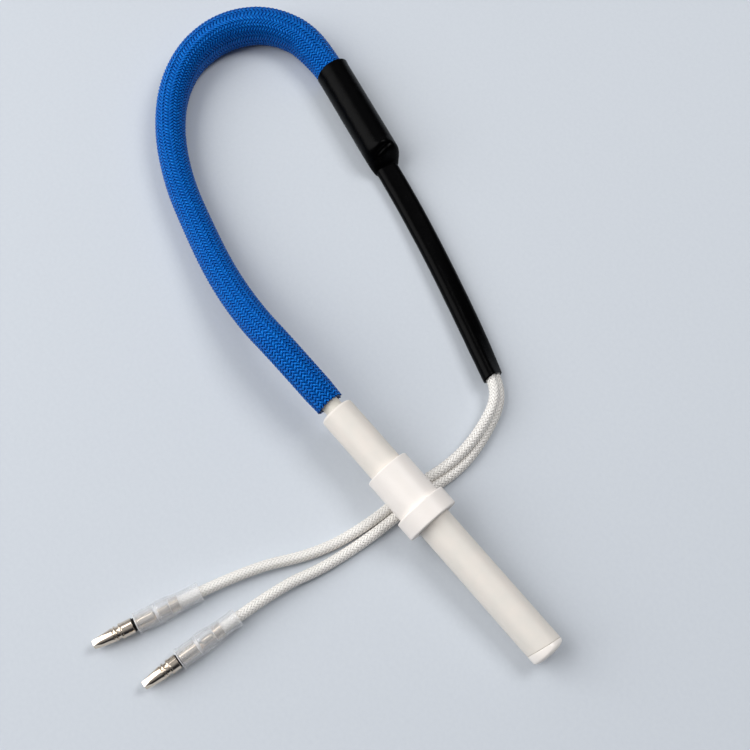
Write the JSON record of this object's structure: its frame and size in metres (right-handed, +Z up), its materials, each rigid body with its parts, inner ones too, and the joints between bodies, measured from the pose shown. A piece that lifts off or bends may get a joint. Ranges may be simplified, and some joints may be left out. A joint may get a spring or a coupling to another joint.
{
  "type": "hot surface igniter",
  "caption": "Ceramic rod igniter with a flanged mounting collar, a braided sleeve over its lead pair, heat-shrink, and bullet terminals under clear sliding covers.",
  "frame": {"origin": "centre of the ceramic heater seen from above, on the floor the part lies on", "axes": "+X along the heater towards its tip, seen from above; +Z up; the cord loop lies on the +Y side and the terminals on the -Y side"},
  "size_m": [0.2051, 0.1621, 0.0178],
  "materials": {
    "alumina_rod": "matte, fired",
    "alumina_glazed": "slight glaze",
    "alumina_collar": "satin, ground",
    "alumina_core": "matte, fired",
    "cement": "matte, dry",
    "magnesia": "matte, dry powder",
    "resistance_wire": "oxidised",
    "nickel_wire": "satin",
    "nickel_sheet": "bright nickel plate",
    "blue_glass_braid": "varnished glass-fibre braid",
    "heat_shrink": "satin",
    "lead_braid": "varnished glass-fibre braid",
    "clear_vinyl": "clear, glossy"
  },
  "bodies": {
    "igniter": {"heater_tube": "alumina_rod", "tip_plug": "alumina_glazed", "tip_cement": "cement", "winding_core": "alumina_core", "heating_coil": "resistance_wire", "core_packing": "magnesia", "cold_pin_a": "nickel_wire", "cold_pin_b": "nickel_wire", "rear_insulator": "alumina_core", "rear_cement": "cement", "mounting_collar": "alumina_collar", "collar_cement": "cement", "splice_ferrule_a": "nickel_sheet", "splice_ferrule_b": "nickel_sheet", "braided_sleeve": "blue_glass_braid", "sleeve_end_shrink": "heat_shrink", "lead_pair_shrink": "heat_shrink", "lead_a_braid": "lead_braid", "lead_b_braid": "lead_braid", "lead_a_core": "nickel_wire", "lead_b_core": "nickel_wire", "bullet_pin_a": "nickel_sheet", "bullet_pin_b": "nickel_sheet"},
    "cover_a": {"terminal_cover_a": "clear_vinyl"},
    "cover_b": {"terminal_cover_b": "clear_vinyl"}
  },
  "joints": [
    {"name": "cover_a_slide", "type": "slide", "parent": "igniter", "child": "cover_a", "axis": [0.2419, 0.9703, 0], "range_m": [0, 0.008]},
    {"name": "cover_b_slide", "type": "slide", "parent": "igniter", "child": "cover_b", "axis": [0.075, 0.9972, 0], "range_m": [0, 0.008]}
  ]
}
